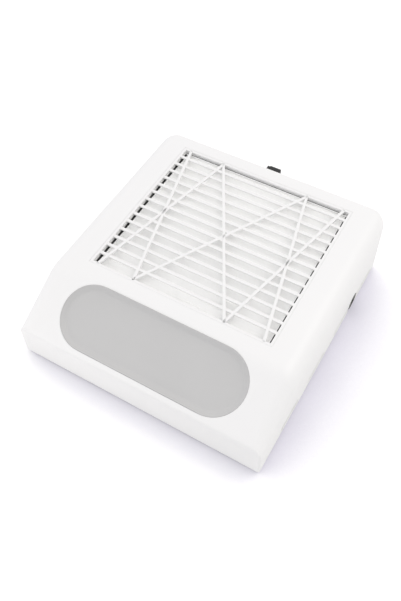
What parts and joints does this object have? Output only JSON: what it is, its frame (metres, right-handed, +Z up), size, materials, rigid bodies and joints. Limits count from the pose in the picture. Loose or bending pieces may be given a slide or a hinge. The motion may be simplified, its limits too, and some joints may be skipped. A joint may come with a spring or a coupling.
{
  "type": "nail dust collector",
  "caption": "Desktop nail dust collector: white sloped housing, lift-out grille with crossed ribs over a pleated filter, grey hand rest, fan, rear rocker switch and round power inlet.",
  "frame": {"origin": "middle of the overall box in plan, on the surface that the feet stand on", "axes": "X to the user's right, Y from the user to the back, Z up"},
  "size_m": [0.255, 0.2774, 0.0814],
  "materials": {
    "white_plastic": "satin moulded",
    "filter_paper": "matte pleated",
    "seal_foam": "matte foam",
    "soft_grey_pad": "matte soft",
    "grey_rubber": "matte",
    "deck_plastic": "matte moulded",
    "fan_plastic": "matte moulded",
    "zinc_plated_steel": "satin plated",
    "motor_steel": "satin drawn",
    "brass": "satin turned",
    "circuit_board": "matte lacquered",
    "capacitor_sleeve": "glossy sleeve",
    "fin_aluminium": "satin extruded",
    "connector_nylon": "matte moulded",
    "black_plastic": "satin moulded",
    "inlet_lead_sleeve": "matte sleeve",
    "switch_lead_sleeve": "matte sleeve",
    "motor_lead_sleeve": "matte sleeve"
  },
  "bodies": {
    "housing": {"board_capacitor": "capacitor_sleeve", "board_heat_sink": "fin_aluminium", "board_screw_1": "zinc_plated_steel", "board_screw_2": "zinc_plated_steel", "board_screw_3": "zinc_plated_steel", "board_screw_4": "zinc_plated_steel", "bottom_cover": "white_plastic", "case_screw_1": "zinc_plated_steel", "case_screw_2": "zinc_plated_steel", "case_screw_3": "zinc_plated_steel", "case_screw_4": "zinc_plated_steel", "connector_inlet": "connector_nylon", "connector_motor": "connector_nylon", "connector_switch": "connector_nylon", "dc_inlet": "black_plastic", "deck_screw_1": "zinc_plated_steel", "deck_screw_2": "zinc_plated_steel", "deck_screw_3": "zinc_plated_steel", "deck_screw_4": "zinc_plated_steel", "driver_board": "circuit_board", "fan_deck": "deck_plastic", "foot_front_left": "grey_rubber", "foot_front_right": "grey_rubber", "foot_rear_left": "grey_rubber", "foot_rear_right": "grey_rubber", "hand_rest_pad": "soft_grey_pad", "inlet_pin": "brass", "inlet_terminal_lower": "brass", "inlet_terminal_upper": "brass", "lead_inlet": "inlet_lead_sleeve", "lead_motor": "motor_lead_sleeve", "lead_switch": "switch_lead_sleeve", "motor_can": "motor_steel", "motor_plate": "zinc_plated_steel", "motor_screw_1": "zinc_plated_steel", "motor_screw_2": "zinc_plated_steel", "motor_screw_3": "zinc_plated_steel", "shaft_bush": "brass", "switch_housing": "black_plastic", "switch_terminal_left": "brass", "switch_terminal_right": "brass", "top_cover": "white_plastic"},
    "grille": {"grille_panel": "white_plastic"},
    "filter": {"filter_frame": "black_plastic", "filter_media": "filter_paper", "filter_seal": "seal_foam"},
    "rotor": {"impeller": "fan_plastic", "fan_shaft": "zinc_plated_steel", "impeller_nut": "brass"},
    "rocker": {"power_rocker": "black_plastic"}
  },
  "joints": [
    {"name": "grille_lift", "type": "slide", "parent": "housing", "child": "grille", "axis": [0, -0.0305, 0.9995], "range_m": [0, 0.06]},
    {"name": "filter_lift", "type": "slide", "parent": "housing", "child": "filter", "axis": [0, -0.0305, 0.9995], "range_m": [0, 0.03]},
    {"name": "fan_spin", "type": "hinge", "parent": "housing", "child": "rotor", "pos_m": [0, 0.02584, 0.03], "axis": [0, 0, 1], "continuous": true},
    {"name": "power_rock", "type": "hinge", "parent": "housing", "child": "rocker", "pos_m": [0, 0.13511, 0.0691], "axis": [1, 0, 0], "range_deg": [0, 28]}
  ],
  "couplings": [
    {"joint": "filter_lift", "follows": "grille_lift", "ratio": 0.5}
  ]
}
